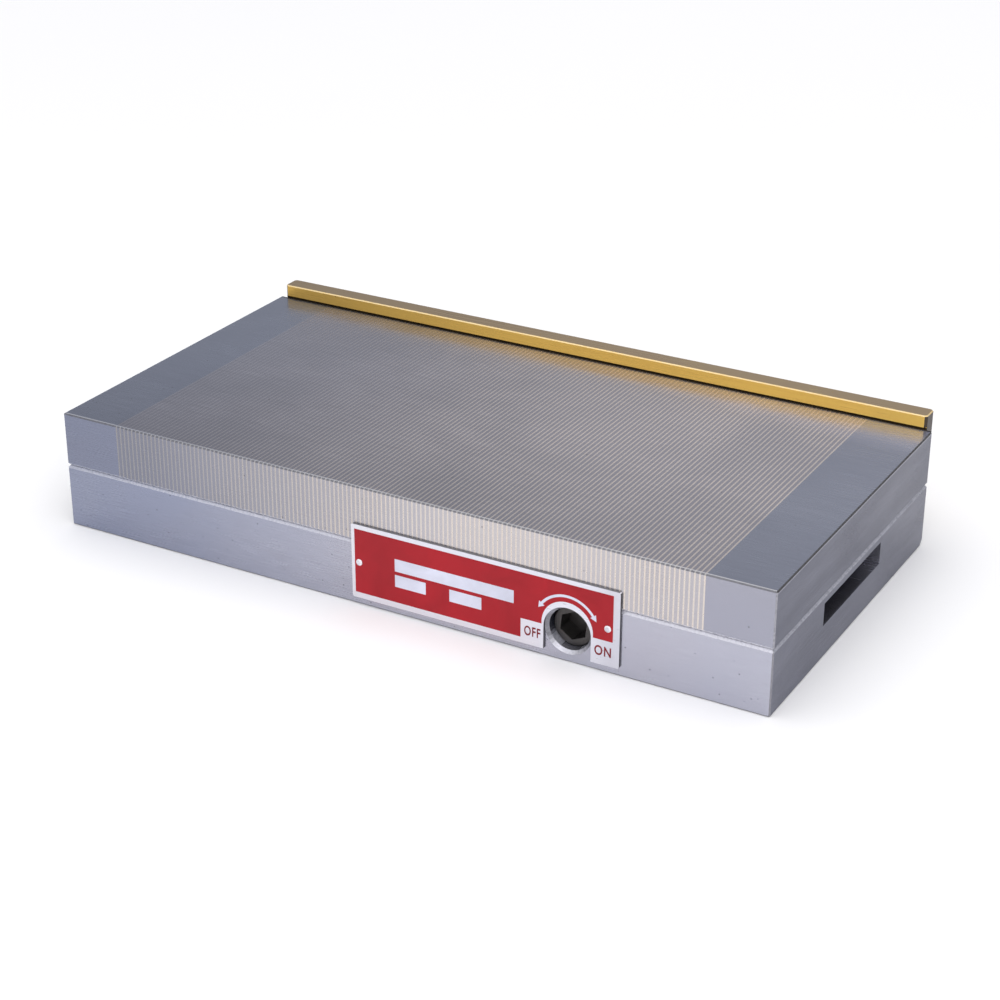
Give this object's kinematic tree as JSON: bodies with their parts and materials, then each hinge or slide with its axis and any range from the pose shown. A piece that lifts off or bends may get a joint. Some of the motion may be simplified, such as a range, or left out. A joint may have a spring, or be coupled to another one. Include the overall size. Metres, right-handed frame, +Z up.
{
  "type": "magnetic chuck",
  "caption": "Flat rectangular magnetic workholding table of steel and brass laminations, switched by a hexagon key, with a stop rail along the rear edge.",
  "frame": {"origin": "middle of the housing's flat underside", "axes": "+X along the length, with the key bore towards +X; +Y to the stop rail at the rear; +Z up out of the work face"},
  "size_m": [0.3, 0.1673, 0.0537],
  "materials": {
    "housing_steel": "fine ground, lightly oiled",
    "block_steel": "surface ground",
    "strip_steel": "surface ground",
    "strip_brass": "surface ground",
    "plate_aluminium": "satin, with red enamel",
    "rivet_aluminium": "satin",
    "shaft_steel": "turned, blackened",
    "bronze": "turned",
    "seal_rubber": "matte",
    "screw_steel": "black oxide",
    "pin_steel": "ground",
    "frame_aluminium": "milled",
    "magnet_alloy": "plated, dull",
    "pole_steel": "ground",
    "rail_brass": "satin",
    "washer_steel": "zinc plated"
  },
  "bodies": {
    "housing": {"base_housing": "housing_steel", "left_end_block": "block_steel", "right_end_block": "block_steel", "steel_strips": "strip_steel", "brass_strips": "strip_brass", "nameplate": "plate_aluminium", "nameplate_rivets": "rivet_aluminium", "shaft_bushing": "bronze", "limit_screw": "screw_steel", "guide_keys": "bronze", "fixed_frame": "frame_aluminium", "fixed_magnets": "magnet_alloy", "fixed_pole_bars": "pole_steel", "cover_seal": "seal_rubber", "plate_screws": "screw_steel", "locating_pins": "pin_steel", "rail_screws": "screw_steel", "rail_washers": "washer_steel"},
    "shaft": {"drive_shaft": "shaft_steel", "shaft_seal": "seal_rubber"},
    "block": {"drive_block": "bronze"},
    "carriage": {"carriage_frame": "frame_aluminium", "carriage_magnets": "magnet_alloy", "carriage_pole_bars": "pole_steel"},
    "rail": {"stop_rail": "rail_brass"}
  },
  "joints": [
    {"name": "shaft_turn", "type": "hinge", "parent": "housing", "child": "shaft", "pos_m": [0.073, -0.064, 0.0125], "axis": [0, 1, 0], "range_deg": [0, 180]},
    {"name": "block_turn", "type": "hinge", "parent": "shaft", "child": "block", "pos_m": [0.07, -0.0478, 0.0125], "axis": [0, 1, 0], "range_deg": [-180, 0]},
    {"name": "carriage_slide", "type": "slide", "parent": "housing", "child": "carriage", "axis": [1, 0, 0], "range_m": [0, 0.006]},
    {"name": "rail_slide", "type": "slide", "parent": "housing", "child": "rail", "axis": [0, 0, 1], "range_m": [-0.006, 0.002]}
  ],
  "couplings": [
    {"joint": "shaft_turn", "follows": "carriage_slide", "rad_per_m": 523.6},
    {"joint": "block_turn", "follows": "carriage_slide", "rad_per_m": -523.6}
  ]
}
